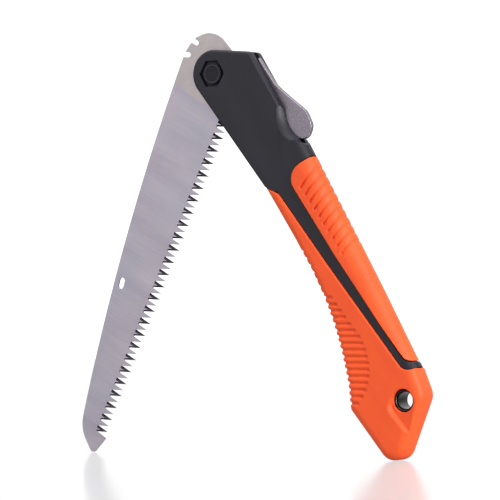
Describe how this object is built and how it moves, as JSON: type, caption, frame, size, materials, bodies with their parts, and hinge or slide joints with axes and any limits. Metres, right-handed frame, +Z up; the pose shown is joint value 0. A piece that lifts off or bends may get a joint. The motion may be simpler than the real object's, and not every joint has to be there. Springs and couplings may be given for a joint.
{
  "type": "folding pruning saw",
  "caption": "Folding pull-cut pruning saw with a curved blade, a two-position thumb-lever lock and a slotted rubber-gripped handle, standing half open.",
  "frame": {"origin": "on the ground under the middle of the standing saw's bounding box", "axes": "+Z up, +X from the blade's point towards the handle's butt, Y across the thickness with the nut on the -Y side"},
  "size_m": [0.2152, 0.0156, 0.2216],
  "materials": {
    "blade_steel": "cross-ground, satin",
    "black_nylon": "fine moulded grain",
    "orange_rubber": "satin moulded",
    "black_acetal": "smooth moulded",
    "blacked_steel": "black oxide, oiled",
    "ring_nylon": "moulded",
    "zinc_steel": "zinc plated",
    "white_acetal": "smooth",
    "lever_steel": "tumbled satin",
    "spring_steel": "drawn wire"
  },
  "bodies": {
    "handle": {"handle_core": "black_nylon", "back_grip": "orange_rubber", "butt_grip": "orange_rubber", "lanyard_bush": "black_acetal", "pivot_bolt": "blacked_steel", "pivot_nut": "blacked_steel", "nut_lock_ring": "ring_nylon", "bolt_washer": "zinc_steel", "pivot_bush": "zinc_steel", "near_washer": "white_acetal", "far_washer": "white_acetal", "lever_pin": "zinc_steel", "lever_spring": "spring_steel"},
    "blade": {"blade": "blade_steel"},
    "lever": {"lock_lever": "lever_steel"}
  },
  "joints": [
    {"name": "blade_pivot", "type": "hinge", "parent": "handle", "child": "blade", "pos_m": [-0.0169, 0, 0.19957], "axis": [0, 1, 0], "range_deg": [-53.4, 144.5]},
    {"name": "lever_rock", "type": "hinge", "parent": "handle", "child": "lever", "pos_m": [0.01759, 0, 0.18484], "axis": [0, 1, 0], "range_deg": [-6, 6], "stiffness_Nm_per_rad": 0.8, "deforming": ["lever_spring"]}
  ]
}
